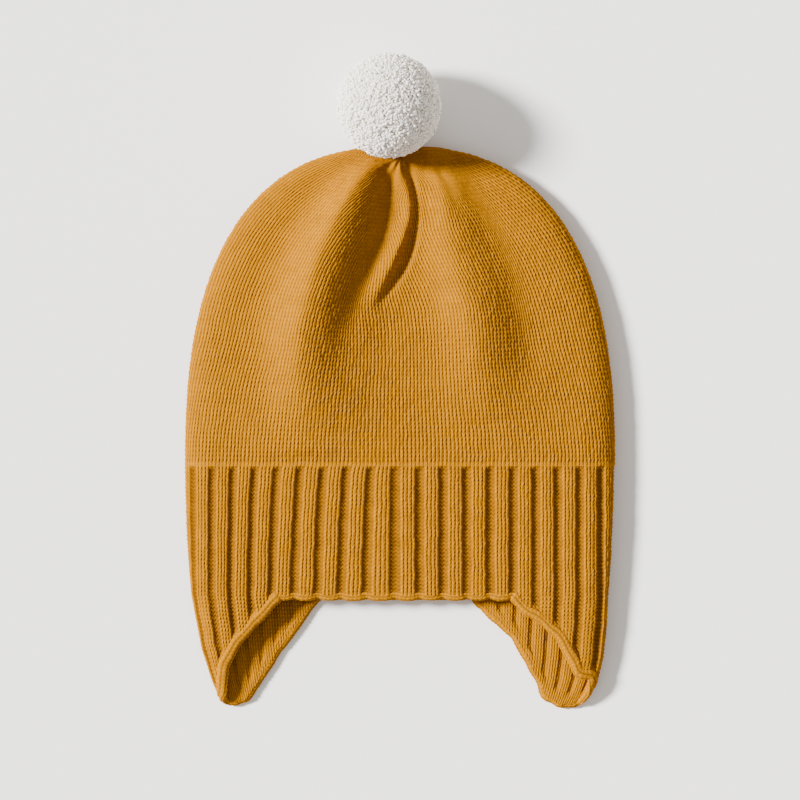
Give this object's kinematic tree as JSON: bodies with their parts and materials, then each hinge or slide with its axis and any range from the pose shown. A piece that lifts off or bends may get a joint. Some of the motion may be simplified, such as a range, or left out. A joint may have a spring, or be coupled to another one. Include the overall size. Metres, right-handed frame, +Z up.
{
  "type": "knit hat",
  "caption": "Child's mustard knit hat with a ribbed band, two fold-up ear flaps and an off-white wool pom-pom, lying flat.",
  "frame": {"origin": "middle of the overall box, on the surface the hat lies on", "axes": "+Z up from that surface, +Y from the brim to the pom-pom, +X to the right ear flap; the head opening faces -Y"},
  "size_m": [0.211, 0.3172, 0.0502],
  "materials": {
    "crown": "mustard plain-knit wool, matt with short fuzz",
    "ribbing": "mustard ribbed-knit wool, matt with short fuzz",
    "edging": "mustard knitted edging cord, matt",
    "seam_yarn": "mustard linking yarn, matt",
    "pompom": "off-white trimmed wool pile, matt",
    "white_yarn": "off-white plied wool yarn, matt"
  },
  "bodies": {
    "shell": {"crown_front": "crown", "crown_back_left": "crown", "crown_back_right": "crown", "rib_band_front": "ribbing", "rib_band_back_left": "ribbing", "rib_band_back_right": "ribbing", "back_seam": "seam_yarn", "brim_edging_front": "edging", "brim_edging_back": "edging", "gathering_yarn": "seam_yarn", "inside_knot": "white_yarn"},
    "left_flap": {"left_ear_flap": "ribbing", "left_flap_edging": "edging"},
    "right_flap": {"right_ear_flap": "ribbing", "right_flap_edging": "edging"},
    "pompom_anchor": {"pompom_anchor_loop": "white_yarn"},
    "pompom": {"pompom": "pompom", "pompom_centre_tie": "white_yarn", "pompom_tie_yarn": "white_yarn"}
  },
  "joints": [
    {"name": "left_flap_fold", "type": "hinge", "parent": "shell", "child": "left_flap", "pos_m": [-0.0575, -0.1045, 0.0136], "axis": [-1, 0, 0], "range_deg": [0, 150]},
    {"name": "right_flap_fold", "type": "hinge", "parent": "shell", "child": "right_flap", "pos_m": [0.0575, -0.1045, 0.0136], "axis": [-1, 0, 0], "range_deg": [0, 150]},
    {"name": "pompom_sway", "type": "hinge", "parent": "shell", "child": "pompom_anchor", "pos_m": [0, 0.11034, 0.01004], "axis": [0, 0, 1], "range_deg": [-40, 15]},
    {"name": "pompom_lift", "type": "hinge", "parent": "pompom_anchor", "child": "pompom", "pos_m": [0, 0.11034, 0.01004], "axis": [1, 0, 0], "range_deg": [0, 60]}
  ]
}
